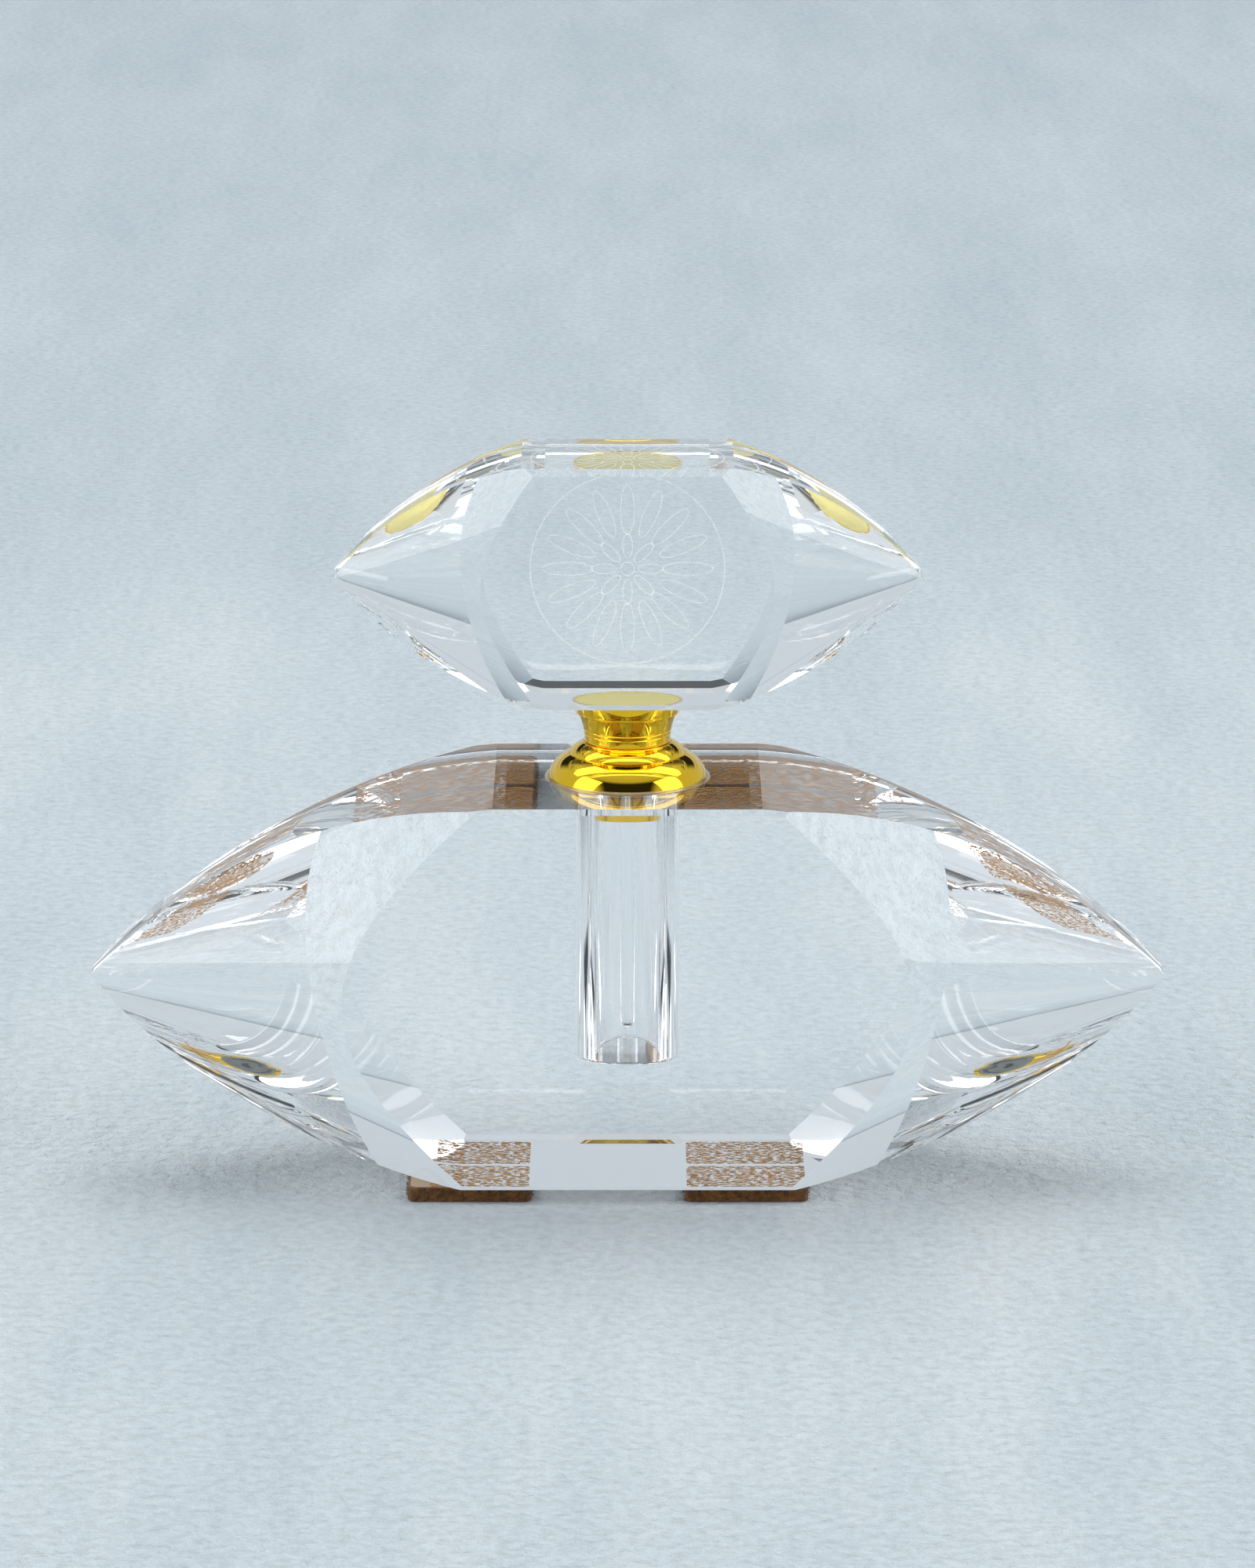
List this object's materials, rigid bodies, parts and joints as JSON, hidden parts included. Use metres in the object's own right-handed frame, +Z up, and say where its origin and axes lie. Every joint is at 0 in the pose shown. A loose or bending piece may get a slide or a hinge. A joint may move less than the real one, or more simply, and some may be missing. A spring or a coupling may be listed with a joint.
{
  "type": "perfume bottle",
  "caption": "Solid cut-crystal perfume bottle shaped like a lens, with a drilled well, a gold neck collar, felt feet and a lift-out crystal stopper on a gold cup with a glass dauber rod.",
  "frame": {"origin": "on the standing surface, under the middle of the bottle and on the axis of the well", "axes": "+X along the bottle's width, -Y its front, +Z up out of the neck"},
  "size_m": [0.1658, 0.0432, 0.1129],
  "materials": {
    "body_crystal": "polished clear lead crystal",
    "stopper_crystal": "polished clear lead crystal with a lightly etched back",
    "rod_glass": "fire-polished clear glass",
    "gold_collar": "bright gold-plated brass, stepped and polished",
    "gold_cup": "bright gold-plated brass, spun and polished",
    "clear_glue": "cured clear adhesive",
    "cement": "cured adhesive that shows the gold below it, matt and slightly yellow",
    "liner_plastic": "natural moulded polyethylene",
    "plug_plastic": "natural moulded polyethylene",
    "seal_rubber": "translucent silicone",
    "felt": "pressed brown felt",
    "adhesive_film": "pressure-sensitive adhesive on felt backing"
  },
  "bodies": {
    "bottle": {"crystal_body": "body_crystal", "neck_collar": "gold_collar", "collar_glue_bead": "clear_glue", "neck_liner": "liner_plastic", "felt_pad_front_left": "felt", "felt_pad_front_right": "felt", "felt_pad_rear_left": "felt", "felt_pad_rear_right": "felt", "pad_film_front_left": "adhesive_film", "pad_film_front_right": "adhesive_film", "pad_film_rear_left": "adhesive_film", "pad_film_rear_right": "adhesive_film"},
    "seal": {"plug_seal_ring": "seal_rubber"},
    "stopper": {"stopper_crystal": "stopper_crystal", "stopper_cement": "cement", "stopper_cup": "gold_cup", "stopper_plug": "plug_plastic", "dauber_rod": "rod_glass"}
  },
  "joints": [
    {"name": "stopper_lift", "type": "slide", "parent": "bottle", "child": "seal", "axis": [0, 0, 1], "range_m": [0, 0.06]},
    {"name": "stopper_turn", "type": "hinge", "parent": "seal", "child": "stopper", "pos_m": [0, 0, 0.0682], "axis": [0, 0, 1], "continuous": true}
  ]
}
